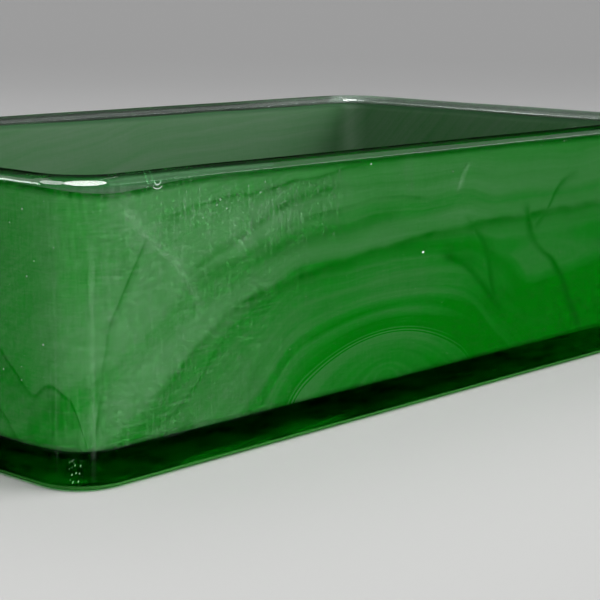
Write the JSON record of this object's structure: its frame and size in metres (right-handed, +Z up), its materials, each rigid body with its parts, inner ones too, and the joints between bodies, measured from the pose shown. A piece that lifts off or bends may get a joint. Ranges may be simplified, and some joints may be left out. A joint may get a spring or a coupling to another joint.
{
  "type": "glass storage dish",
  "caption": "Open rectangular storage dish in clear green pressed glass with a thick floor, rounded corners and rim, lined inside with swirled green colour.",
  "frame": {"origin": "middle of the underside, on the surface that the dish stands on", "axes": "+X along the length, +Y along the width, +Z up"},
  "size_m": [0.216, 0.12, 0.06],
  "materials": {
    "clear_green_glass": "clear pressed glass with a green tint, fire polished at the rim, with light scratches, dust and a small bruise",
    "marbled_green_colour": "thin coat of swirled green and milky colour, glossy where seen through the glass and satin and greyer on its open inner face"
  },
  "bodies": {
    "root": {"glass_vessel": "clear_green_glass", "marbled_lining": "marbled_green_colour"}
  },
  "joints": []
}
